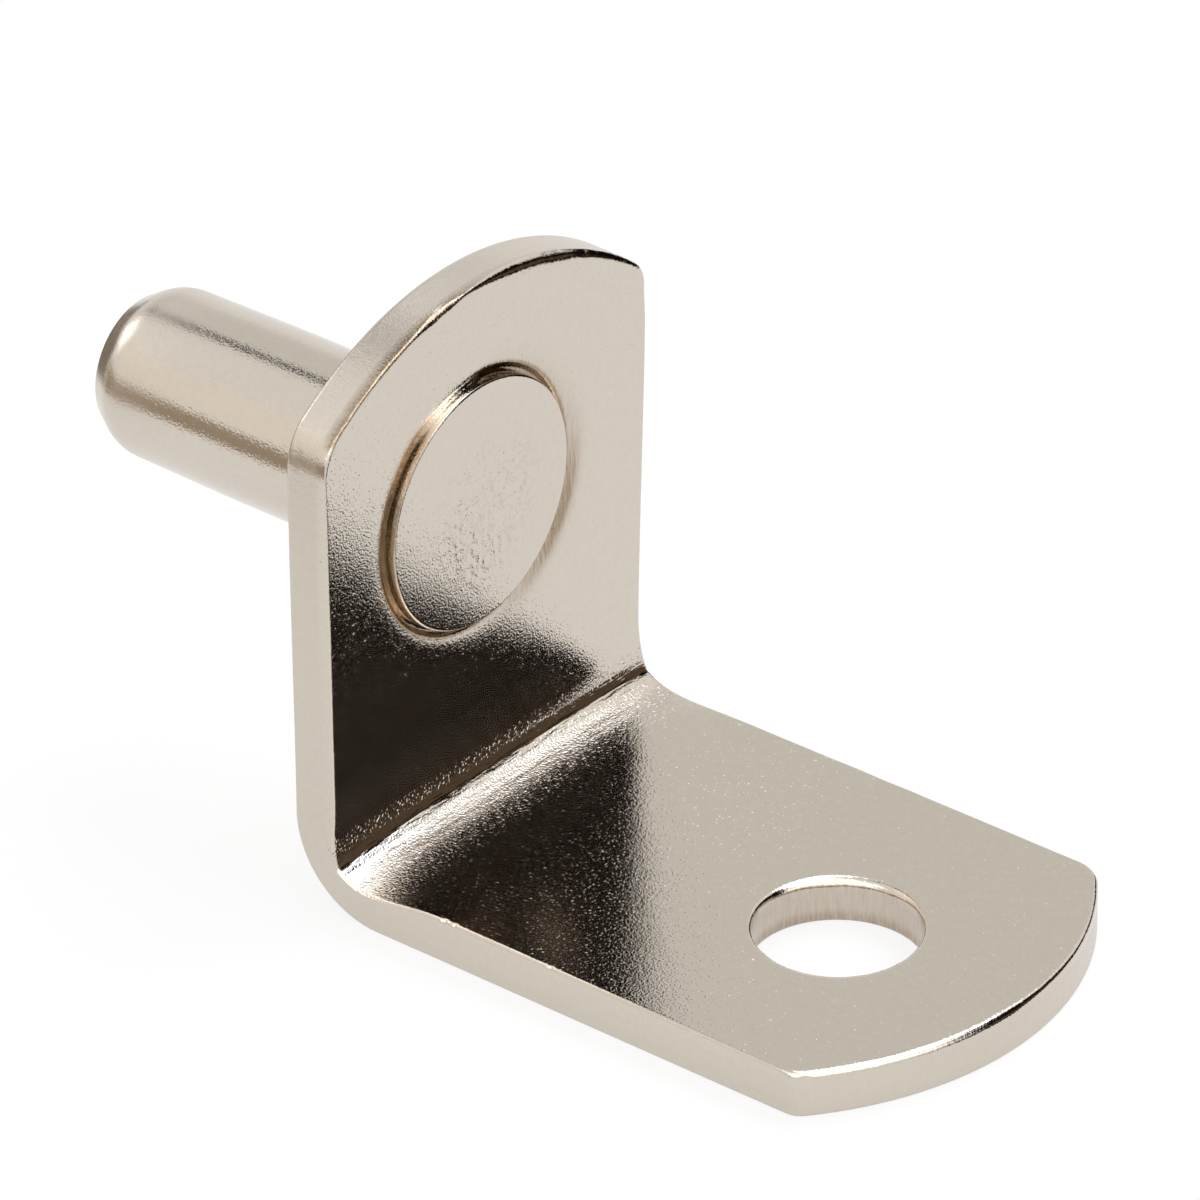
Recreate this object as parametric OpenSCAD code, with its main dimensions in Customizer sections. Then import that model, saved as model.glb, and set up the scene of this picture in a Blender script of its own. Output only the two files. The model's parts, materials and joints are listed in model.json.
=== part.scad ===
// Shelf support pin: a folded steel angle with a round pin riveted through its upright.
// The pin goes into a hole in a cabinet's side, the shelf rests on the leg, and a screw holds it there.
// The origin is on the pin's axis where it leaves the back face, which lies on the cabinet's side.
// +X runs out along the shelf leg, +Z is up, and the pin points along -X.

/* [Sheet] */
// Thickness of the folded sheet
sheet_t = 1.35; // [1:0.05:1.8]
// Width of the strip that the angle is folded from
strip_w = 13.6; // [11:0.1:15]
// Radius on the outside of the fold
fold_outer_r = 2.8; // [2.2:0.05:3.2]
// Radius that the punch rolls onto the edges of the face that meets the shelf
edge_r = 0.18; // [0.1:0.01:0.3]

/* [Shelf leg] */
// Length of the shelf leg from the wall to its tip
leg_len = 19.75; // [18:0.05:25]
// Radius of the curved tip
tip_r = 9.8; // [8:0.1:14]
// Diameter of the screw hole
hole_d = 4.7; // [3:0.05:6]
// Distance of the screw hole from the wall
hole_x = 13.55; // [9:0.05:14]
// Distance of the screw hole from the strip's middle, towards -Y
hole_side = 0.15; // [-0.5:0.05:0.5]

/* [Upright] */
// Height of the arched top above the underside of the leg
upright_h = 16.85; // [16:0.05:22]
// Radius of the arched top
arch_r = 10.25; // [8:0.05:13]

/* [Pin] */
// Diameter of the pin in the cabinet's side
pin_d = 5; // [4.2:0.1:6.4]
// Length of the pin behind the back face
pin_len = 10.5; // [7:0.1:14]
// Height of the pin's axis above the underside of the leg
pin_z = 10.25; // [9.5:0.05:11]
// Distance of the pin from the strip's middle, towards -Y
pin_side = 0.6; // [-0.8:0.05:0.8]
// Length of the taper at the pin's free end
taper_len = 0.85; // [0.4:0.05:1.5]
// Diameter of the flat free end
end_d = 3.9; // [3:0.05:4]
// Radius between the taper and the free end
end_edge_r = 0.25; // [0.1:0.05:0.3]
// Diameter of the tenon that passes through the sheet
tenon_d = 4; // [3:0.1:4]

/* [Riveted head] */
// Diameter of the head's face
head_d = 7.35; // [6:0.05:8]
// Diameter of the head where it meets the sheet
head_base_d = 7.75; // [6.5:0.05:8.5]
// Height of the head above the sheet
head_h = 0.33; // [0.25:0.01:0.8]
// Radius around the head's face
head_edge_r = 0.12; // [0.05:0.01:0.2]

/* [Hidden] */
$fn = 96;
round_steps = 5;
clearance = 0.5;
underside_z = -pin_z;
middle_y = pin_side;
taper_angle = atan((pin_d - end_d) / 2 / taper_len);

// Points of a round corner about a centre, from angle a0 to angle a1
function round_corner(centre, r, a0, a1) =
    [for (i = [0:round_steps]) let (a = a0 + (a1 - a0) * i / round_steps) centre + r * [cos(a), sin(a)]];

// The strip's section, with x through the sheet and y across it: both edges are rolled on the inner face
module strip_section() {
    half = strip_w / 2;
    left = round_corner([sheet_t - edge_r, half - edge_r], edge_r, 0, 90);
    right = round_corner([sheet_t - edge_r, edge_r - half], edge_r, -90, 0);
    polygon(concat([[0, half], [0, -half]], right, left));
}

// A plate lying on z = 0 with a round end of radius r about the origin and a rolled rim
module round_ended_plate(r) {
    rim = round_corner([r - edge_r, sheet_t - edge_r], edge_r, 0, 90);
    rotate_extrude() polygon(concat([[0, 0], [r, 0]], rim, [[0, sheet_t]]));
    translate([-leg_len - upright_h, -r, 0]) cube([leg_len + upright_h, 2 * r, sheet_t]);
}

// One flat arm of the angle, lying along +X from the fold to a round end at the given reach
module arm(reach, end_r) {
    intersection() {
        translate([fold_outer_r, 0, 0]) rotate([0, 90, 0]) mirror([1, 0, 0])
            linear_extrude(reach) strip_section();
        translate([reach - end_r, 0, 0]) round_ended_plate(end_r);
    }
}

// The quarter turn between the two arms
module fold() {
    translate([fold_outer_r, 0, fold_outer_r]) rotate([-90, 0, 0]) rotate([0, 0, 90])
        rotate_extrude(angle = 90) translate([fold_outer_r, 0]) mirror([1, 0]) strip_section();
}

// The hole for the shelf's screw, with its top rim rolled in by the punch
module screw_hole() {
    r = hole_d / 2;
    rim = round_corner([r + edge_r, sheet_t - edge_r], edge_r, 180, 90);
    over = sheet_t + clearance;
    rotate_extrude() polygon(concat([[0, -clearance], [r, -clearance]], rim, [[r + edge_r, over], [0, over]]));
}

// The folded angle of plated sheet steel: the shelf leg, the fold and the upright with its arched top
module bracket() {
    color([0.78, 0.75, 0.71]) difference() {
        translate([0, middle_y, underside_z]) {
            arm(leg_len, tip_r);
            fold();
            rotate([0, -90, 0]) mirror([0, 0, 1]) arm(upright_h, arch_r);
        }
        translate([hole_x, middle_y - hole_side, underside_z]) screw_hole();
        translate([-clearance, 0, 0]) rotate([0, 90, 0])
            cylinder(d = tenon_d, h = sheet_t + 2 * clearance);
    }
}

// The turned pin: a tapered end, a shoulder on the back face, and a tenon riveted over the sheet
module support_pin() {
    free_end = round_corner([end_d / 2 - end_edge_r, end_edge_r - pin_len], end_edge_r, -90, -taper_angle);
    body = [[pin_d / 2, taper_len - pin_len], [pin_d / 2, 0]];
    tenon = [[tenon_d / 2, 0], [tenon_d / 2, sheet_t]];
    face = sheet_t + head_h;
    head = round_corner([head_d / 2 - head_edge_r, face - head_edge_r], head_edge_r, 0, 90);
    color([0.8, 0.77, 0.73]) rotate([0, 90, 0]) rotate_extrude()
        polygon(concat([[0, -pin_len]], free_end, body, tenon, [[head_base_d / 2, sheet_t]], head, [[0, face]]));
}

bracket();
support_pin();
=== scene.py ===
import itertools
import json
import math

import bpy
import numpy as np
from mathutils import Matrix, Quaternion, Vector
from mathutils.geometry import delaunay_2d_cdt


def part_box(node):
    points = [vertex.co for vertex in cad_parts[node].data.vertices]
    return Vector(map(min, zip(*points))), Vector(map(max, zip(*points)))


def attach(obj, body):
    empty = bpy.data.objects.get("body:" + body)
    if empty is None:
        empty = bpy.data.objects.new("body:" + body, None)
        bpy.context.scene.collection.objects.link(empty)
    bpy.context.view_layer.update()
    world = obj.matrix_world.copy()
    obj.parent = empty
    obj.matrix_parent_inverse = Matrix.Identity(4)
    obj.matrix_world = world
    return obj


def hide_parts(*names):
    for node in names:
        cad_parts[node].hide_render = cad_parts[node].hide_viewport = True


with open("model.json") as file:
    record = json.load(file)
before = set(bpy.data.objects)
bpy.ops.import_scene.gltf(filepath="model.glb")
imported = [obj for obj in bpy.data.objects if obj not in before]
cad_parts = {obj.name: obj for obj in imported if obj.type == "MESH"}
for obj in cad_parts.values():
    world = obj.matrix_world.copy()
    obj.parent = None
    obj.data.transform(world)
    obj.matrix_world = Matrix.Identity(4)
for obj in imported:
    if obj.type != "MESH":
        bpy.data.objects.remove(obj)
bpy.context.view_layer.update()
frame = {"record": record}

MM = 0.001  # lengths below are in millimetres, and each mesh is scaled to metres as it is made


# ---------------------------------------------------------------- sizes from the frame

def box_mm(node):
    """Lowest and highest corner of a CAD node, in millimetres."""
    return [np.array(corner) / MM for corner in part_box(node)]


MOUNTS = {mount["name"]: mount for mount in frame["record"]["mounts"]}
SHEET_LO, SHEET_HI = box_mm("bracket")
PIN_LO, PIN_HI = box_mm("support_pin")
UNDERSIDE_Z = SHEET_LO[2]
SHEET_T = MOUNTS["shelf_seat"]["pos_m"][2] / MM - UNDERSIDE_Z
LEG_LEN = SHEET_HI[0]
UPRIGHT_H = SHEET_HI[2] - UNDERSIDE_Z
HOLE_AT = np.array(MOUNTS["screw_hole"]["pos_m"][:2]) / MM
HOLE_R = MOUNTS["screw_hole"]["dims"]["r_mm"]
PIN_R = MOUNTS["wall_pin"]["dims"]["r_mm"]
PIN_STRAIGHT = MOUNTS["wall_pin"]["dims"]["length_mm"]
PIN_AT = np.array([UNDERSIDE_Z, 0])  # on the blank: along the strip, and across it
HEAD_TOP_X = PIN_HI[0]

# The sheet's own shape, where the looks say more than the frame does.
# The strip's sides at the top of the upright, at the fold and at the leg's tip: they flare a little.
SIDES = {-1: (SHEET_LO[1] + 0.01, -5.99, -6.04), 1: (SHEET_HI[1] - 0.01, 7.05, 7.15)}
FOLD = 2.8                       # outer radius of the fold, and half the length of blank it takes
TOP_R, TOP_Y = 10.25, 0.44       # the arched top: its radius, and where its centre lies across the strip
TIP_R, TIP_Y = 9.8, 0.5          # the same for the leg's tip
TOP_ROUNDS = (1.6, 1.0)          # radii of the top's two corners, the -Y one and the +Y one
TIP_ROUNDS = (0.65, 1.2)         # the same for the leg's tip
TENON_R = 2.0
HEAD_R = 3.66                    # rim of the riveted head
GROOVE_R = 3.93                  # outer lip of the groove that riveting has left round the head
GROOVE_DEPTH = 0.12
DISHES = ((0.06, 0.22), (0.02, 0.9))   # (depth, reach) of the two hollows that it has left round the groove

# Directions round the pin's head, from +Y towards the arched top.
TOOL_LEAN = math.radians(-30)    # where the riveting tool pressed hardest
BURNISHED_AT = math.radians(106)
BURNISHED_HALF = 0.34            # half the angle that the burnished place takes up, in radians


# ---------------------------------------------------------------- shared helpers

def lumps(points, size, seed):
    """Smooth random heights from -1 to 1 at the points, with lumps about `size` across."""
    cells = 32
    grid = np.random.default_rng(seed).uniform(-1, 1, (cells, cells, cells))
    scaled = np.asarray(points, float) / size
    cell = np.floor(scaled).astype(int)
    part = scaled - cell
    part = part * part * (3 - 2 * part)
    total = np.zeros(len(scaled))
    for corner in itertools.product((0, 1), repeat=3):
        at = (cell + corner) % cells
        weight = np.prod(np.where(corner, part, 1 - part), axis=1)
        total += weight * grid[at[:, 0], at[:, 1], at[:, 2]]
    return total


def ease(values, start, stop):
    """0 up to start, 1 from stop on, and a smooth rise between them."""
    share = np.clip((np.asarray(values, float) - start) / (stop - start), 0, 1)
    return share * share * (3 - 2 * share)


def band(values, rise_from, rise_to, fall_from, fall_to):
    """A smooth rise from 0 to 1, and a smooth fall back to 0."""
    return ease(values, rise_from, rise_to) * (1 - ease(values, fall_from, fall_to))


def fade(distance, reach):
    """1 up to zero distance, and dying out beyond it."""
    return np.exp(-distance.clip(0) / reach)


def make_mesh(name, points_mm, faces, masks):
    """A smooth-shaded object from points in millimetres, with one float attribute for each mask."""
    mesh = bpy.data.meshes.new(name)
    mesh.from_pydata((np.asarray(points_mm) * MM).tolist(), [], faces)
    for mask, values in masks.items():
        attribute = mesh.attributes.new(mask, "FLOAT", "POINT")
        attribute.data.foreach_set("value", np.asarray(values, np.float32))
    mesh.shade_smooth()
    mesh.update()
    obj = bpy.data.objects.new(name, mesh)
    bpy.context.scene.collection.objects.link(obj)
    return obj


# ---------------------------------------------------------------- the punched blank

EDGE_STEP = 0.06      # spacing of the points along the cut edges
FACE_STEP = 0.14      # spacing of the points across the seen inner face
BACK_STEP = 0.4       # and across the outer face
RIM_ROLL = 0.2        # radius to which the punch has rolled the inner face's rim
BACK_MARGIN = 0.28    # width of the outer face that belongs to the edges' rings


def arc(centre, radius, start, stop):
    """Points along an arc between two angles in radians, without the last one."""
    count = max(3, round(abs(stop - start) * radius / EDGE_STEP))
    turn = np.linspace(start, stop, count, endpoint=False)
    return np.column_stack((centre[0] + radius * np.cos(turn), centre[1] + radius * np.sin(turn)))


def side_y(along, side):
    """Where one side of the strip lies: side -1 is the one towards -Y, and +1 the other. It is straight
    at the fold, and reaches its places at the two ends a little before them."""
    top, fold, tip = SIDES[side]
    up = ease(-np.asarray(along), 1.5, UPRIGHT_H - 3)
    out = ease(along, 1.5, LEG_LEN - 3)
    return fold + (top - fold) * up + (tip - fold) * out


def strip_end(reach, radius, middle, sides, rounds):
    """The curved end of the strip, from its -Y side round to its +Y side, with rounded corners."""
    centre = (reach - radius, middle)
    spots, turns = [], []
    for side, y, rounding in zip((-1, 1), sides, rounds):
        across = y - side * rounding - middle
        along = math.sqrt((radius - rounding) ** 2 - across ** 2)
        spots.append((centre[0] + along, middle + across))
        turns.append(math.atan2(across, along))
    return np.vstack((arc(spots[0], rounds[0], -math.pi / 2, turns[0]),
                      arc(centre, radius, turns[0], turns[1]),
                      arc(spots[1], rounds[1], turns[1], math.pi / 2),
                      [(spots[1][0], sides[1])]))


def blank_outline():
    """The closed outline of the flat blank: the leg lies at positive `along`, the upright at negative."""
    tip = strip_end(LEG_LEN, TIP_R, TIP_Y, [side_y(LEG_LEN, s) for s in (-1, 1)], TIP_ROUNDS)
    top = strip_end(UPRIGHT_H, TOP_R, TOP_Y, [side_y(-UPRIGHT_H, s) for s in (-1, 1)], TOP_ROUNDS)
    top = top[::-1] * (-1, 1)
    sides = []
    for start, stop, side in ((tip[-1], top[0], 1), (top[-1], tip[0], -1)):
        count = round(abs(start[0] - stop[0]) / EDGE_STEP)
        along = np.linspace(start[0], stop[0], count + 1)[1:-1]
        sides.append(np.column_stack((along, side_y(along, side))))
    return np.vstack((tip, sides[0], top, sides[1]))


def round_hole(centre, radius):
    """A hole's loop, run the other way from the outline, so that the same edge code serves both."""
    return arc(centre, radius, 2 * math.pi, 0)


def edge_profile(flare=0.0):
    """(inset, height) up a cut edge, from the outer face to the inner face with its rolled rim. `flare`
    is how much further the edge is cut back at the outer face than at the inner one."""
    bevel = 0.07
    low = [(flare + BACK_MARGIN, 0), (flare + bevel, 0), (flare + bevel * 0.3, bevel * 0.3), (flare, bevel)]
    wall = [(flare * (1 - h / SHEET_T), h) for h in np.linspace(bevel, SHEET_T - 2 * RIM_ROLL, 12)[1:]]
    turn = np.radians(np.linspace(0, 90, 8))
    rolled = list(zip(RIM_ROLL * (1 - np.cos(turn)), SHEET_T - RIM_ROLL * (1 - np.sin(turn))))
    return low + wall + rolled + [(RIM_ROLL + 0.12, SHEET_T)]


def riveted_profile():
    """The same for the tenon's hole: the pressed seat of the head, the groove round it and its lip, with
    rings close together where the sheet's surface curves."""
    seat = SHEET_T - GROOVE_DEPTH
    foot, lip = 3.755, GROOVE_R + 0.01
    points = [(TENON_R + BACK_MARGIN, 0), (TENON_R, 0.02), (TENON_R, seat - 0.3), (TENON_R, seat - 0.02)]
    points += [(r, seat) for r in (2.03, 2.5, 3.0, 3.5, 3.62, 3.68, 3.73, 3.76)]
    points += [(r, seat + GROOVE_DEPTH * float(ease(r, foot, lip))) for r in np.arange(3.78, lip, 0.02)]
    points += [(r, SHEET_T) for r in (3.96, 3.99, 4.02, 4.06, 4.1, 4.15, 4.2, 4.26, 4.33, 4.41, 4.5,
                                      4.6, 4.71, 4.83)]
    return [(r - TENON_R, height) for r, height in points]


def arch_share(along):
    """1 on the arched top, and 0 from a little below it."""
    return ease(-along, UPRIGHT_H - 4.5, UPRIGHT_H - 3)


def rim_size(loop, on_outline):
    """How far the rim is rolled at each point of a loop, as a share of edge_profile's. It is uneven."""
    along, across = loop.T
    flat = np.column_stack((loop, np.zeros(len(loop))))
    if on_outline:
        arched = arch_share(along)
        top = 0.38 + 0.45 * ease(across, -2.5, -1.5) + 0.75 * ease(across, 0.3, 1.5)
        top *= (1 - 0.5 * np.exp(-((across + 0.3) / 0.35) ** 2)) * (1 - 0.5 * ease(across, 5.3, 7))
        tip = ease(along, LEG_LEN - 3.2, LEG_LEN - 2.4)
        size = 0.5 + arched * (top - 0.5) + tip * (0.5 - 0.3 * ease(across, 0, 2))
        uneven = 1 + (0.1 + 0.12 * arched) * lumps(flat, 0.9, 0) + 0.06 * arched * lumps(flat, 0.3, 1)
        return (size * uneven).clip(0.1, 1.9)
    # the screw hole's rim is rolled most at two opposite places
    turn = np.arctan2(*(loop - HOLE_AT).T[::-1]) - math.radians(129)
    return 0.5 + 0.9 * np.cos(turn) ** 2 + 0.08 * lumps(flat, 0.35, 11)


# Knocks on the outline's edge: (along, across, height), half length, half height and depth.
KNOCKS = [
    ((17.5, -5.9, 1.12), 0.14, 0.12, 0.15),
    ((5.2, -6.0, 1.3), 0.10, 0.10, 0.07),
    ((5.55, -6.0, 1.3), 0.08, 0.10, 0.05),
    ((8.9, -6.02, 1.3), 0.10, 0.10, 0.05),
    ((-15.1, -5.2, 1.2), 0.12, 0.12, 0.05),
    ((-13.9, -5.9, 0.35), 0.30, 0.07, 0.05),
]


def edge_rings(loop, profile, on_outline):
    """The edge's points, ring by ring up the profile, as (along, across, height), a little uneven."""
    ahead = np.roll(loop, -1, axis=0) - np.roll(loop, 1, axis=0)
    ahead /= np.linalg.norm(ahead, axis=1, keepdims=True)
    into = np.column_stack((-ahead[:, 1], ahead[:, 0]))
    flat = np.column_stack((loop, np.zeros(len(loop))))
    size = rim_size(loop, on_outline)
    nibble = 0.003 + 0.004 * arch_share(loop[:, 0])
    nibble *= 0.6 * lumps(flat, 0.45, 2) + 0.4 * lumps(flat, 0.17, 3)
    scored = 0.0025 * lumps(flat, 0.13, 4)
    rings = []
    for inset, height in profile:
        rim = height > SHEET_T - 0.35
        level = SHEET_T - (SHEET_T - height) * size if rim else np.full(len(loop), height)
        move = inset * (size if rim else np.ones(len(loop)))
        if inset > 0 and rim:
            move = move + nibble
        if 0.1 < height < SHEET_T - 0.12:
            torn = 1 - ease(height, 0.3, 0.6)
            move = move + scored + 0.006 * torn * lumps(np.column_stack((loop, level)), 0.12, 5)
        for (along, across, up), length, tall, depth in KNOCKS if on_outline else []:
            away = np.hypot(*(loop - (along, across)).T) / length
            move = move + depth * np.exp(-away ** 2 - ((level - up) / tall) ** 2)
        rings.append(np.column_stack((loop + into * move.clip(0)[:, None], level)))
    return rings


def inside(points, loop):
    """Which points lie inside a closed loop."""
    result = np.zeros(len(points), bool)
    for (x0, y0), (x1, y1) in zip(loop, np.roll(loop, -1, axis=0)):
        if y0 != y1:
            crosses = (points[:, 1] > min(y0, y1)) & (points[:, 1] <= max(y0, y1))
            result ^= crosses & (points[:, 0] < x0 + (points[:, 1] - y0) * (x1 - x0) / (y1 - y0))
    return result


def fill_face(outer, holes, step):
    """Even triangles between the outline and the holes: (inner points, triangles).
    The triangles count through the outline's points, then the holes', then the inner points."""
    loops = [outer, *holes]
    lo, hi = outer.min(axis=0), outer.max(axis=0)
    row = step * math.sqrt(3) / 2
    rows = np.arange(math.ceil(lo[0] / row), math.floor(hi[0] / row) + 1)
    columns = np.arange(lo[1], hi[1], step)
    grid = np.vstack([np.column_stack((np.full(len(columns), r * row), columns + step / 2 * (r % 2)))
                      for r in rows])
    keep = inside(grid, outer)
    for loop in loops:
        gap = np.full(len(grid), np.inf)
        for spot in loop:
            gap = np.minimum(gap, np.hypot(grid[:, 0] - spot[0], grid[:, 1] - spot[1]))
        keep &= gap > step * 0.6
    for hole in holes:
        keep &= ~inside(grid, hole)
    grid = grid[keep]
    points = np.vstack([*loops, grid])
    edges, start = [], 0
    for loop in loops:
        edges += [(start + i, start + (i + 1) % len(loop)) for i in range(len(loop))]
        start += len(loop)
    _, _, faces, origin, _, _ = delaunay_2d_cdt([Vector(p) for p in points], edges, [], 1, 1e-6)
    faces = np.array([[origin[i][0] for i in face] for face in faces])
    centre = points[faces].mean(axis=1)
    solid = inside(centre, outer)
    for hole in holes:
        solid &= ~inside(centre, hole)
    return grid, faces[solid]


# The inner bend is two soft fillets that meet in a crease. Each entry gives the fillet's greatest slope
# in degrees, its spread and how fast it dies out, for the leg's side: near the -Y edge, in the middle,
# and near the +Y edge. The upright's side is the same all along.
LEG_FILLETS = ((34, 0.97, 1.5), (34, 0.77, 1.35), (35, 0.62, 1.3))
UPRIGHT_FILLET = (34, 0.47, 1.1)
LEG_FILLET_LEN, UPRIGHT_FILLET_LEN = 2.9, 1.9

# The bend makes the inner half of the strip droop and spread at its -Y side and at its +Y side:
# (how far, reach inwards).
DROOP = ((0.31, 1.2), (0.12, 0.9))
SPREAD = ((0.19, 0.6), (0.12, 0.6))


def fillet(slope, spread, power, length):
    """One side of the inner bend: (distance from the crease, distance along the flat, rise above it)."""
    away = np.linspace(0, length, 401)
    angle = math.radians(slope) * np.exp(-(away / spread) ** power)
    step = away[1] - away[0]
    run = np.concatenate(([0], np.cumsum(np.cos((angle[1:] + angle[:-1]) / 2) * step)))
    climb = np.concatenate(([0], np.cumsum(np.sin((angle[1:] + angle[:-1]) / 2) * step)))
    return away, run, climb[-1] - climb


def inner_bend(along):
    """(x, height, distance from the crease) of the inner face for each of the three leg fillets."""
    paths = []
    away_u, run_u, rise_u = fillet(*UPRIGHT_FILLET, UPRIGHT_FILLET_LEN)
    for leg_fillet in LEG_FILLETS:
        away_l, run_l, rise_l = fillet(*leg_fillet, LEG_FILLET_LEN)
        leg_reach = SHEET_T + rise_u[0] + run_l[-1]
        upright_reach = SHEET_T + rise_l[0] + run_u[-1]
        on_leg = np.clip(along / leg_reach, 0, 1) * LEG_FILLET_LEN
        on_upright = np.clip(-along / upright_reach, 0, 1) * UPRIGHT_FILLET_LEN
        x = SHEET_T + np.interp(on_upright, away_u, rise_u) + np.interp(on_leg, away_l, run_l)
        height = SHEET_T + np.interp(on_leg, away_l, rise_l) + np.interp(on_upright, away_u, run_u)
        x += np.clip(along - leg_reach, 0, None)
        height += np.clip(-along - upright_reach, 0, None)
        paths.append((x, height, on_leg - on_upright))
    return paths


def bend(points):
    """Folds (along, across, height) points of the blank into the bracket's place, in millimetres.
    Also gives each point's distance from the crease: positive on the leg, negative on the upright."""
    along, across, height = np.asarray(points, float).T
    share = np.clip((along + FOLD) / (2 * FOLD), 0, 1)
    turn = share * math.pi / 2
    outer_x = FOLD * (1 - np.cos(turn)) + np.clip(along - FOLD, 0, None)
    outer_z = FOLD * (1 - np.sin(turn)) + np.clip(-along - FOLD, 0, None)
    from_near, from_far = across - side_y(along, -1), side_y(along, 1) - across
    near, far = fade(from_near, 0.9), fade(from_far, 2.5)
    shares = np.stack((near, 1 - near - far, far))
    inner_x, inner_z, crease = (np.sum(shares * np.stack(part), axis=0) for part in zip(*inner_bend(along)))
    level = height / SHEET_T
    x = outer_x + (inner_x - outer_x) * level
    z = outer_z + (inner_z - outer_z) * level
    drooping = band(along, -1.3, 0.1, 1.0, 5.5) * level ** 2
    z -= drooping * sum(drop * fade(distance, reach)
                        for distance, (drop, reach) in zip((from_near, from_far), DROOP))
    spreading = np.exp(-((along - 0.3) / 2.2) ** 2)
    out_near, out_far = (out * level * fade(distance, reach)
                         for distance, (out, reach) in zip((from_near, from_far), SPREAD))
    y = across + spreading * (out_far - out_near)
    return np.column_stack((x, y.clip(SHEET_LO[1], SHEET_HI[1]), z + UNDERSIDE_Z)), crease


def from_pin(points):
    """How far points of the blank lie from the pin's axis: towards the arched top, and towards +Y."""
    return PIN_AT[0] - points[:, 0], points[:, 1] - PIN_AT[1]


def lean(up, across):
    """How hard the riveting tool has pressed round the pin's head, from 0 to 1."""
    return 0.5 + 0.5 * np.cos(np.arctan2(up, across) - TOOL_LEAN)


def polished(up, across):
    """Where the tool has burnished the groove and the head's wall instead of crushing them, from 0 to 1.
    There the painted shade is left out, so that the wall shows a lamp's reflection.
    """
    return np.exp(-((np.arctan2(up, across) - BURNISHED_AT) / BURNISHED_HALF) ** 4)


def dish(points):
    """How far the riveting has pressed the inner face in, round the pin's head. The burnished place
    is level again."""
    up, across = from_pin(points)
    away = np.hypot(up, across) - GROOVE_R
    on_upright = points[:, 0] < -FOLD - 1
    pressed = sum(depth * fade(away, reach) for depth, reach in DISHES)
    pressed = pressed * (0.2 + 0.8 * lean(up, across)) * (1 - polished(up, across))
    in_groove = (np.abs(away) < GROOVE_R - HEAD_R + 0.1) & (points[:, 2] > SHEET_T - GROOVE_DEPTH - 0.01)
    filled = in_groove * polished(up, across) * (SHEET_T - points[:, 2])
    return on_upright * (pressed - filled)


def edge_walls():
    """The blank's cut edges as closed rings: (points, faces, first rings, last rings). The first rings
    lie on the outer face and the last ones on the inner face, and both are lists of point numbers."""
    outline = edge_rings(blank_outline(), edge_profile(), True)
    # the punch has left the screw hole a little wider at the outer face
    screw_hole = edge_rings(round_hole(HOLE_AT, HOLE_R - 0.02), edge_profile(flare=0.05), False)
    loop = round_hole(PIN_AT, TENON_R)
    outwards = (loop - PIN_AT) / TENON_R
    tenon_hole = [np.column_stack((loop + outwards * inset, np.full(len(loop), height)))
                  for inset, height in riveted_profile()]
    points, faces, first, last = [], [], [], []
    for rings in (outline, screw_hole, tenon_hole):
        start, n = sum(len(p) for p in points), len(rings[0])
        for k in range(len(rings) - 1):
            for i in range(n):
                j = (i + 1) % n
                faces.append((start + k * n + i, start + k * n + j,
                              start + (k + 1) * n + j, start + (k + 1) * n + i))
        points += rings
        first.append(start + np.arange(n))
        last.append(start + (len(rings) - 1) * n + np.arange(n))
    return points, faces, first, last


def flat_blank():
    """The blank before it is folded: (points, faces), with both faces filled between the cut edges."""
    points, faces, first, last = edge_walls()
    for ends, step, height, upward in ((last, FACE_STEP, SHEET_T, True), (first, BACK_STEP, 0, False)):
        so_far = np.vstack(points)
        rims = [so_far[e][:, :2] for e in ends]
        grid, triangles = fill_face(rims[0], rims[1:], step)
        lookup = np.concatenate([*ends, len(so_far) + np.arange(len(grid))])
        triangles = lookup[triangles]
        faces += (triangles if upward else triangles[:, ::-1]).tolist()
        points.append(np.column_stack((grid, np.full(len(grid), height))))
    return np.vstack(points), faces


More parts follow.
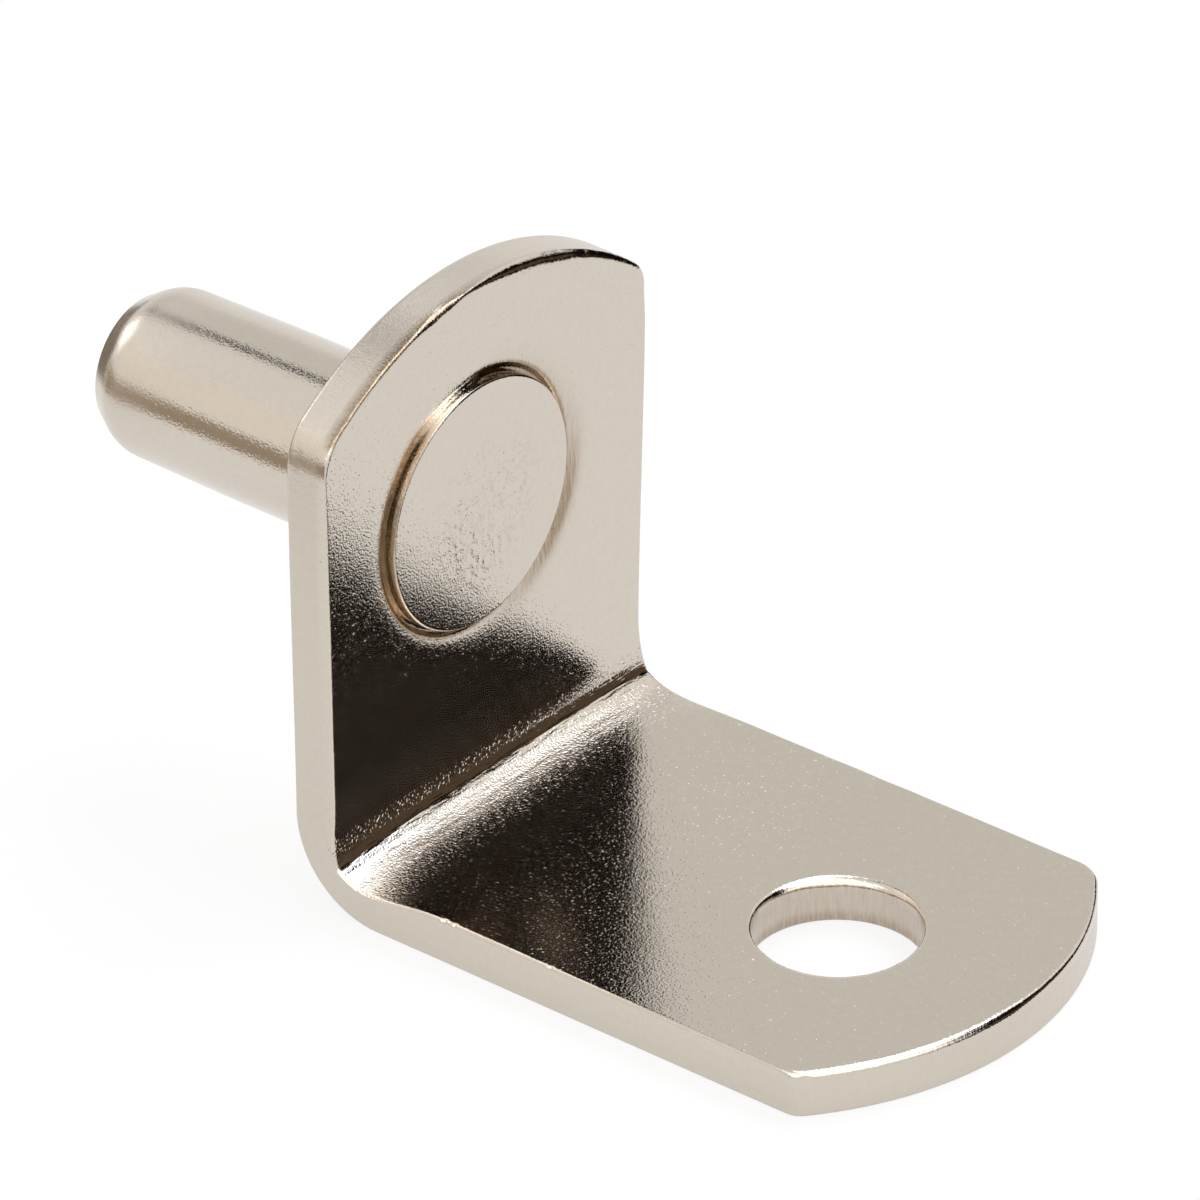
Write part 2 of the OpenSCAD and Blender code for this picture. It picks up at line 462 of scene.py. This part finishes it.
def bracket_masks(blank, level, crease):
    """Where the sheet's material is coarse, gritty, streaked and dull, and where it is painted brown as
    shade.
    `level` goes from 0 on the outer face to 1 on the inner one, and `crease` is the distance that bend gives."""
    along, across = blank[:, 0], blank[:, 1]
    on_face = ease(level, 0.85, 0.95)

    # bands along the crease, from the upright to the leg
    stretched = band(crease, -0.75, -0.45, -0.38, -0.24)
    smooth = band(crease, -0.32, -0.2, 0.0, 0.15)
    drawn = band(crease, -0.35, -0.2, 0.7, 1.2)
    sanded = band(crease, 0.2, 0.6, 1.3, 2.2)
    far_out = ease(along, 3, 6)
    grit = 0.34 + 3.5 * stretched + 0.45 * sanded - 0.3 * smooth
    grit += 0.1 * far_out * (1 - ease(along, 8, 11))

    # painted shade on the screw hole's wall, darker at its foot
    to_screw = np.hypot(*(blank[:, :2] - HOLE_AT).T) - HOLE_R
    in_hole = (1 - ease(to_screw, 0.1, 0.3)) * (1 - on_face)
    hole_shade = in_hole * (0.3 + 0.35 * (1 - ease(level, 0.1, 0.35)))

    # painted shade on the rim of the arched top, on its -Y half: a painted dark reflection
    to_arch = TOP_R - np.hypot(along + UPRIGHT_H - TOP_R, across - TOP_Y)
    arch_shade = ease(-along, UPRIGHT_H - 6, UPRIGHT_H - 5) * ease(level, 0.8, 0.88)
    arch_shade *= (1 - ease(to_arch, 0.05, 0.12)) * (1 - ease(across, -1, 1))

    # Painted shade in the groove round the head and on its lip, for the dark reflections there, and a smudge
    # of painted shade outside it where the tool pressed hardest. The groove's mask goes through the sheet, so
    # it also leaves a brown patch on the outer face, which the real part wouldn't have.
    up, beside = from_pin(blank)
    to_groove = np.hypot(up, beside) - GROOVE_R
    in_groove = 1 - ease(to_groove, 0.0, 0.12)
    turn = np.arctan2(up, beside) - TOOL_LEAN
    smudge_shade = 0.5 * lean(up, beside) * fade(to_groove, 0.25)
    smudge_shade += 1.1 * np.exp(-(turn / 0.5) ** 2 - ((to_groove - 0.35) / 0.3) ** 2)
    groove_shade = (smudge_shade * on_face + in_groove) * (1 - polished(up, beside))

    return {"grain": 1.0 + on_face * (0.8 * stretched + 0.7 * sanded - 0.7 * smooth - 0.3 * far_out),
            "grit": on_face * grit,
            "drawn": on_face * drawn,
            "tarnish": hole_shade + arch_shade + groove_shade,
            "dull": (1 - ease(level, 0.75, 0.85)) * (1 - in_groove)}


def sharpen_crease(sheet, blank, level):
    """Marks the edges along the inner bend's crease as sharp."""
    ends = np.zeros(2 * len(sheet.data.edges), int)
    sheet.data.edges.foreach_get("vertices", ends)
    on_crease = (np.abs(blank[:, 0]) < 1e-6) & (level > 0.9)
    sharp = on_crease[ends.reshape(-1, 2)].all(axis=1)
    sheet.data.attributes.new("sharp_edge", "BOOLEAN", "EDGE").data.foreach_set("value", sharp)


def make_bracket():
    """The folded sheet with its two holes. Before it is folded, its inner face is pressed in round the
    pin's head and made a little wavy."""
    blank, faces = flat_blank()
    level = blank[:, 2] / SHEET_T
    blank[:, 2] -= dish(blank) * level ** 2
    flat = blank * (1, 1, 0)
    wave = 0.005 * lumps(flat, 3.5, 40) + 0.0014 * lumps(flat, 0.8, 41)
    blank[:, 2] -= (wave + 0.007) * (level > 0.9)
    folded, crease = bend(blank)
    sheet = make_mesh("folded_sheet", folded, faces, bracket_masks(blank, level, crease))
    sharpen_crease(sheet, blank, level)
    return sheet


# ---------------------------------------------------------------- the riveted pin

CRUMPLE_Y, CRUMPLE_Z = 0.4, -0.35   # middle of the crumpled part of the head's face
RING_PITCH = 0.28                   # spacing of the turned rings on the outer end


def lathe(name, profile, steps, sculpt, masks):
    """A body turned about the pin's axis from (x, radius) points that start and end on the axis.
    `sculpt` moves its points, and `masks` gives the float attributes that its material reads."""
    profile = np.array(profile, float)
    turn = np.linspace(0, 2 * math.pi, steps, endpoint=False)
    x, r = profile[1:-1, 0][:, None], profile[1:-1, 1][:, None]
    rings = np.stack((x + 0 * turn, r * np.cos(turn), r * np.sin(turn)), axis=-1).reshape(-1, 3)
    ends = np.array([(profile[0, 0], 0, 0), (profile[-1, 0], 0, 0)])
    points = sculpt(np.vstack((rings, ends)))
    count, faces = len(profile) - 2, []
    for i in range(steps):
        j = (i + 1) % steps
        faces.append((count * steps, j, i))
        faces.append((count * steps + 1, (count - 1) * steps + i, (count - 1) * steps + j))
        for k in range(count - 1):
            faces.append((k * steps + i, k * steps + j, (k + 1) * steps + j, (k + 1) * steps + i))
    return make_mesh(name, points, faces, masks(points))


def soften(corners, steps=7):
    """Points through the (x, r, radius) corners, each corner rounded to its radius."""
    points = []
    for k, (x, r, radius) in enumerate(corners):
        spot = np.array((x, r))
        if radius == 0:
            points.append(spot)
            continue
        back, ahead = (np.array(corners[n][:2]) - spot for n in (k - 1, k + 1))
        back, ahead = back / np.linalg.norm(back), ahead / np.linalg.norm(ahead)
        half = math.acos(float(back @ ahead)) / 2
        middle = (back + ahead) / np.linalg.norm(back + ahead)
        centre = spot + middle * radius / math.sin(half)
        for share in np.linspace(0, 1, steps):
            arm = spot + (back * (1 - share) + ahead * share) * radius / math.tan(half) - centre
            points.append(centre + arm / np.linalg.norm(arm) * radius)
    return points


def split(points, fine_from, fine, coarse):
    """The same path with its long steps split: finely where x is beyond fine_from."""
    result = [points[0]]
    for start, stop in zip(points[:-1], points[1:]):
        step = fine if min(start[0], stop[0]) > fine_from else coarse
        count = max(1, math.ceil(np.linalg.norm(stop - start) / step))
        result += [start + (stop - start) * k / count for k in range(1, count + 1)]
    return result


def pin_profile():
    """The pin's outline from the middle of its outer end to the middle of its head's face. The face lies
    low enough for the creases that stand up from it."""
    end_x, end_r = PIN_LO[0], 1.96
    pressed = sum(depth for depth, _ in DISHES) + GROOVE_DEPTH
    seat = SHEET_T - pressed + 0.004
    top = HEAD_TOP_X - 0.06
    corners = [(end_x, 0, 0), (end_x, end_r, 0.25), (-PIN_STRAIGHT, PIN_R, 1.3), (0, PIN_R, 0.02),
               (0, TENON_R, 0), (seat, TENON_R, 0), (seat, HEAD_R + 0.03, 0.02), (top, HEAD_R, 0.06),
               (top, 0, 0)]
    return split(soften(corners), fine_from=SHEET_T, fine=0.06, coarse=0.15)


def crumple(points):
    """(how strong it is, heights of the creases from 0 to 1) of the crumpled middle of the head."""
    off_middle = np.hypot(points[:, 1] - CRUMPLE_Y, points[:, 2] - CRUMPLE_Z)
    return 1 - ease(off_middle, 1.2, 2.9), 1 - np.abs(lumps(points * (0, 1, 1), 0.23, 51))


def work_pin(points):
    """Leaves the marks of making and use: fine rings on the outer end, a thinner worn stretch beside it,
    and a wavy head crumpled about its middle."""
    points = points.copy()
    radius = np.hypot(points[:, 1], points[:, 2])
    worn = 0.06 * (1 - ease(points[:, 0], -PIN_STRAIGHT - 0.4, -PIN_STRAIGHT + 4.5)) * (points[:, 0] < 0)
    flat = points * (0, 1, 1)
    on_head = ease(points[:, 0], HEAD_TOP_X - 0.12, HEAD_TOP_X - 0.07)
    strength, creases = crumple(points)
    dents = 0.006 * lumps(flat, 1.6, 50)
    dents += strength * (0.015 * creases - 0.009 + 0.005 * lumps(flat, 0.13, 52))
    on_end = points[:, 0] < PIN_LO[0] + 0.01
    turned = 0.006 * (1 + np.cos(2 * math.pi * radius / RING_PITCH)) * (1 - ease(radius, 1.5, 1.7))
    points[:, 0] += on_head * (dents - 0.02) + on_end * turned
    points[:, 1:] *= (1 - worn / np.maximum(radius, 1))[:, None]
    return points


def pin_masks(points):
    """The head's riveted wall is painted brown as shade, the tops of its creases are tarnished brown, its
    face is grainy, and the outer end is worn dull.
    """
    radius = np.hypot(points[:, 1], points[:, 2])
    strength, creases = crumple(points)
    on_wall = (points[:, 0] > 0) * ease(radius, HEAD_R - 0.04, HEAD_R - 0.01)
    on_face = (points[:, 0] > SHEET_T) * (1 - on_wall)
    bright = polished(points[:, 2], points[:, 1])
    return {"grain": 1 + on_face * (0.1 + 0.5 * strength),
            "grit": 0.15 + on_face * (0.15 + 0.2 * strength),
            "drawn": 0 * radius,
            # painted shade on the head's wall, left out where it is burnished, and tarnished crease tops
            "tarnish": on_wall * (1 - bright) + 0.2 * on_face * strength * ease(creases, 0.8, 1),
            "dull": (0.35 + 0.4 * ease(points[:, 0], -PIN_STRAIGHT - 0.4, -PIN_STRAIGHT + 0.3))
                    * (1 - ease(points[:, 0], -PIN_STRAIGHT + 0.2, -PIN_STRAIGHT + 3.4))}


# ---------------------------------------------------------------- materials

def nodes_of(tree):
    """Two short helpers for a node tree: add(kind, inputs, settings) makes a node, and calculate(kind,
    values) makes a maths node and gives its result. Inputs and values are numbers or other nodes' outputs."""
    def add(kind, inputs=None, **settings):
        node = tree.nodes.new(kind)
        for name, value in settings.items():
            setattr(node, name, value)
        for name, value in (inputs or {}).items():
            if isinstance(value, bpy.types.NodeSocket):
                tree.links.new(value, node.inputs[name])
            else:
                node.inputs[name].default_value = value
        return node

    def calculate(kind, *values):
        return add("ShaderNodeMath", dict(enumerate(values)), operation=kind).outputs[0]

    return add, calculate


NICKEL = (0.66, 0.597, 0.522)
SHADE_AND_TARNISH_BROWN = (0.36, 0.275, 0.19)   # brown: painted shade in the screw hole, the groove, on the arch's rim and on the head's wall, and the tarnished tops of the head's creases


def nickel(name, roughness, grain):
    """Nickel plating over worked steel: a fine grain under the plating and a few pits. The piece's masks say
    where the grain is coarse or gritty, where bending has drawn it into streaks, where the metal is duller,
    and where it is painted brown, mostly as shade. `grain` scales all the relief, in millimetres."""
    material = bpy.data.materials.new(name)
    material.use_nodes = True
    tree = material.node_tree
    add, calculate = nodes_of(tree)
    shader = tree.nodes["Principled BSDF"]
    shader.inputs["Metallic"].default_value = 1.0
    spot = add("ShaderNodeTexCoord").outputs["Object"]
    mm = add("ShaderNodeVectorMath", {0: spot, "Scale": 1 / MM}, operation="SCALE").outputs[0]

    def noise(scale, detail, stretch=(1, 1, 1)):
        spread = add("ShaderNodeVectorMath", {0: mm}, operation="MULTIPLY")
        spread.inputs[1].default_value = stretch
        return add("ShaderNodeTexNoise", {"Vector": spread.outputs[0], "Scale": scale, "Detail": detail,
                                          "Roughness": 0.55}).outputs["Fac"]

    def ramp(value, low, high, start, stop):
        return add("ShaderNodeMapRange", {"Value": value, "From Min": low, "From Max": high,
                                          "To Min": start, "To Max": stop}).outputs["Result"]

    def mask(attribute):
        return add("ShaderNodeAttribute", attribute_name=attribute).outputs["Fac"]

    fine = calculate("SUBTRACT", noise(15.0, 1.0), 0.5)
    grit = ramp(noise(13.0, 0.0), 0.64, 0.8, 0.0, 1.0)
    height = calculate("ADD", calculate("MULTIPLY", fine, mask("grain")),
                       calculate("MULTIPLY", grit, mask("grit")))
    slanted = add("ShaderNodeMapping", {"Vector": mm}, vector_type="TEXTURE")
    slanted.inputs["Rotation"].default_value = (0, 0, math.radians(50))
    slanted.inputs["Scale"].default_value = (3, 1, 1)
    pits = add("ShaderNodeTexVoronoi", {"Vector": slanted.outputs[0], "Scale": 1.7}).outputs["Distance"]
    height = calculate("ADD", height, ramp(pits, 0.0, 0.08, -1.0, 0.0))
    streaks = calculate("MULTIPLY", noise(4.0, 3.0, (1, 0.13, 1)), mask("drawn"))
    height = calculate("ADD", height, calculate("MULTIPLY", streaks, 4.0))
    bump = add("ShaderNodeBump", {"Height": height, "Strength": 1.0, "Distance": grain * MM})
    tree.links.new(bump.outputs["Normal"], shader.inputs["Normal"])

    broad = noise(5.0, 3.0)
    tint = add("ShaderNodeMix", {"Factor": broad}, data_type="RGBA")
    tint.inputs[6].default_value = (*[c * 0.95 for c in NICKEL], 1)
    tint.inputs[7].default_value = (*[c * 1.045 for c in NICKEL], 1)
    scored = ramp(noise(15.0, 2.0, (1, 1, 0.1)), 0.3, 0.7, 0.55, 1.3)
    # the brown mixed in here is mostly painted shade, standing in for dark reflections in hollows and on rims
    worn = add("ShaderNodeMix", {"Factor": calculate("MULTIPLY", scored, mask("tarnish")),
                                 6: tint.outputs[2]}, data_type="RGBA")
    worn.inputs[7].default_value = (*SHADE_AND_TARNISH_BROWN, 1)
    tree.links.new(worn.outputs[2], shader.inputs["Base Color"])
    rough = ramp(broad, 0.3, 0.7, roughness * 0.9, roughness * 1.1)
    dull = calculate("MULTIPLY", mask("dull"), 0.2)
    tree.links.new(calculate("ADD", rough, dull), shader.inputs["Roughness"])
    return material


# ---------------------------------------------------------------- floor, light and camera

BOARD_X = (-35.0, 24.0)
BOARD_Y = (-29.0, 60.0)
BOARD_CORNER = 12.0
BOARD_PAINT = 0.9                # how pale the board itself is
BOARD_SEEN, BOARD_MIRRORED = 1.02, 0.94   # how bright it shows to the camera and in the metal
BOARD_GLOW = 0.8                 # how much of that is its own light: the rest keeps the part's shadow
WHITE = 1.0                      # the background
PLAIN = 0.8                      # the even light on matt things
ROOM = (0.95, 0.94, 0.93)        # what the metal shows between the panels


def studio_panels():
    """Soft boxes and dark gaps round the set: azimuth, half width, lowest and highest elevation
    (degrees), softness of the edge, and colour."""
    return [
        (315, 60, 16, 88, 4, (1.90, 1.88, 1.84)),       # the soft light beside the camera
        (140, 30, 20, 62, 6, (0.79, 0.78, 0.765)),      # the grey wall behind the left of the set
        (235, 22, 8, 34, 6, (1.0, 0.95, 0.88)),         # the warm wall on the camera's left
        (65, 75, 62, 90, 4, (2.0, 1.95, 1.87)),         # the ceiling light
        (18, 24, 47, 66, 4, (3.3, 3.4, 3.5)),           # and the part of it above the leg's tip
        (250, 14, 40, 60, 5, (2.2, 2.15, 2.05)),        # a small lamp on the camera's left
        (50, 26, -14, 37, 3, (0.007, 0.004, 0.003)),    # the unlit room beyond the leg's tip
        (54, 15, 10, 51, 3, (0.007, 0.004, 0.003)),     # the taller part of it
        (68, 38, -15, 17, 3, (0.007, 0.004, 0.003)),    # its lower part, which is wider
        (20, 10, -9, 4, 3, (0.05, 0.04, 0.03)),         # and the end of that
        (46, 17, -2, 15, 3, (0.10, 0.07, 0.045)),       # a brown shelf in the room
        (89, 21, 38, 62, 3, (1.05, 1.03, 0.98)),        # the main soft box
        (92, 43, 52, 70, 3, (3.0, 3.3, 3.8)),           # and its brightest part
        (186, 13, 14, 40, 4, (2.2, 2.2, 2.15)),         # a lamp behind the pin
        (158.5, 3.6, 35, 75, 1.2, (0.02, 0.02, 0.02)),  # the gap between two soft boxes
        (236, 45, -23, 1, 2, (0.42, 0.34, 0.26)),       # the table's front edge
        (166, 20, -22, 6, 4, (0.26, 0.22, 0.18)),       # its rear edge
        (12, 20, -34, -13, 4, (0.05, 0.04, 0.03)),      # and its edge beyond the leg's tip
    ]


def studio_world():
    """White to the camera, pale grey to matt things, and soft boxes with dark gaps between them to the
    metal."""
    world = bpy.data.worlds.new("studio")
    bpy.context.scene.world = world
    world.use_nodes = True
    tree = world.node_tree
    tree.nodes.clear()
    add, calculate = nodes_of(tree)
    away = add("ShaderNodeTexCoord").outputs["Generated"]
    axes = add("ShaderNodeSeparateXYZ", {0: away}).outputs
    elevation = calculate("ARCSINE", axes[2])
    azimuth = calculate("ARCTAN2", axes[1], axes[0])
    colour = add("ShaderNodeRGB").outputs[0]
    colour.default_value = (*ROOM, 1)
    for centre, half, low, high, soft, shade in studio_panels():
        turn = calculate("SUBTRACT", azimuth, math.radians(centre))
        turn = calculate("WRAP", turn, math.pi, -math.pi)
        rise = calculate("SUBTRACT", elevation, math.radians((low + high) / 2))
        masks = []
        for angle, reach in ((turn, half), (rise, (high - low) / 2)):
            inputs = {"Value": calculate("ABSOLUTE", angle), "From Min": math.radians(reach - soft),
                      "From Max": math.radians(reach + soft), "To Min": 1.0, "To Max": 0.0}
            masks.append(add("ShaderNodeMapRange", inputs,
                             interpolation_type="SMOOTHSTEP").outputs["Result"])
        blend = add("ShaderNodeMix", {"Factor": calculate("MULTIPLY", *masks), 6: colour},
                    data_type="RGBA")
        blend.inputs[7].default_value = (*shade, 1)
        colour = blend.outputs[2]
    path = add("ShaderNodeLightPath").outputs
    shown = add("ShaderNodeMix", {"Factor": path["Is Camera Ray"], 6: colour}, data_type="RGBA")
    shown.inputs[7].default_value = (WHITE, WHITE, WHITE, 1)
    plain = add("ShaderNodeMix", {"Factor": path["Is Diffuse Ray"], 6: shown.outputs[2]}, data_type="RGBA")
    plain.inputs[7].default_value = (PLAIN, PLAIN, PLAIN, 1)
    background = add("ShaderNodeBackground", {"Color": plain.outputs[2]})
    add("ShaderNodeOutputWorld", {"Surface": background.outputs[0]})


def studio_floor():
    """A white board under the leg, with rounded corners. It keeps a faint shadow of the part, and
    a camera below it looks through it."""
    steps = np.linspace(0, math.pi / 2, 12)
    rim = []
    for quarter, (x, y) in enumerate(((1, 1), (0, 1), (0, 0), (1, 0))):
        turn = steps + quarter * math.pi / 2
        rim.append(np.column_stack((BOARD_X[x] + BOARD_CORNER * (1 - 2 * x + np.cos(turn)),
                                    BOARD_Y[y] + BOARD_CORNER * (1 - 2 * y + np.sin(turn)),
                                    np.full(len(steps), UNDERSIDE_Z - 0.01))))
    rim = np.vstack(rim)
    board = make_mesh("floor", rim, [tuple(range(len(rim)))], {})
    material = bpy.data.materials.new("floor_white")
    material.use_nodes = True
    tree = material.node_tree
    tree.nodes.clear()
    add, calculate = nodes_of(tree)
    matt = add("ShaderNodeBsdfDiffuse", {"Color": (BOARD_PAINT, BOARD_PAINT, BOARD_PAINT, 1)})
    path = add("ShaderNodeLightPath").outputs
    level = add("ShaderNodeMapRange", {"Value": path["Is Camera Ray"], "To Min": BOARD_MIRRORED,
                                       "To Max": BOARD_SEEN})
    glow = add("ShaderNodeEmission", {"Color": (1, 1, 1, 1), "Strength": level.outputs["Result"]})
    shown = calculate("MAXIMUM", path["Is Camera Ray"], path["Is Glossy Ray"])
    shown = calculate("MAXIMUM", shown, path["Is Transmission Ray"])
    share = calculate("MULTIPLY", shown, BOARD_GLOW)
    white = add("ShaderNodeMixShader", {0: share, 1: matt.outputs[0], 2: glow.outputs[0]})
    from_below = add("ShaderNodeNewGeometry").outputs["Backfacing"]
    clear = add("ShaderNodeBsdfTransparent").outputs[0]
    surface = add("ShaderNodeMixShader", {0: calculate("MULTIPLY", from_below, path["Is Camera Ray"]),
                                          1: white.outputs[0], 2: clear})
    add("ShaderNodeOutputMaterial", {"Surface": surface.outputs[0]})
    board.data.materials.append(material)


def direction(azimuth, elevation):
    """Unit vector towards a place round the set: azimuth from +X towards +Y, both in degrees."""
    a, e = math.radians(azimuth), math.radians(elevation)
    return Vector((math.cos(a) * math.cos(e), math.sin(a) * math.cos(e), math.sin(e)))


def studio_lamp(name, azimuth, elevation, distance, size, watts):
    """A large soft lamp aimed at the part, with its distance and size in metres. The metal shows the
    world's soft boxes instead of it."""
    lamp = bpy.data.lights.new(name, "AREA")
    lamp.size = size
    lamp.energy = watts
    obj = bpy.data.objects.new(name, lamp)
    bpy.context.scene.collection.objects.link(obj)
    towards = direction(azimuth, elevation)
    obj.location = towards * distance
    obj.rotation_mode = "QUATERNION"
    obj.rotation_quaternion = towards.to_track_quat("Z", "Y")
    obj.visible_camera = False
    obj.visible_glossy = False


def studio_camera():
    """A long lens that sees the leg's top, the upright's inner face and the strip's -Y edge."""
    back, roll = direction(-50.77, 31.33), math.radians(-0.12)
    target = Vector((5.42, 0.36, -1.74)) * MM
    distance = 452.3 * MM
    data = bpy.data.cameras.new("camera")
    data.sensor_width, data.lens = 36.0, 505.25
    data.clip_start, data.clip_end = 0.01, 10.0
    camera = bpy.data.objects.new("camera", data)
    bpy.context.scene.collection.objects.link(camera)
    camera.location = target + back * distance
    camera.rotation_mode = "QUATERNION"
    camera.rotation_quaternion = (-back).to_track_quat("-Z", "Y") @ Quaternion((0, 0, 1), roll)
    bpy.context.scene.camera = camera


# ---------------------------------------------------------------- the scene

studio_camera()
studio_world()
studio_floor()
studio_lamp("key_lamp", azimuth=92, elevation=52, distance=0.5, size=0.35, watts=1.2)

sheet = make_bracket()
sheet.data.materials.append(nickel("sheet_nickel", roughness=0.09, grain=0.007))
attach(sheet, "root")
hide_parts("bracket")

pin = lathe("riveted_pin", pin_profile(), steps=288, sculpt=work_pin, masks=pin_masks)
pin.data.materials.append(nickel("pin_nickel", roughness=0.1, grain=0.006))
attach(pin, "root")
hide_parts("support_pin")

bpy.context.scene.view_settings.view_transform = "Standard"
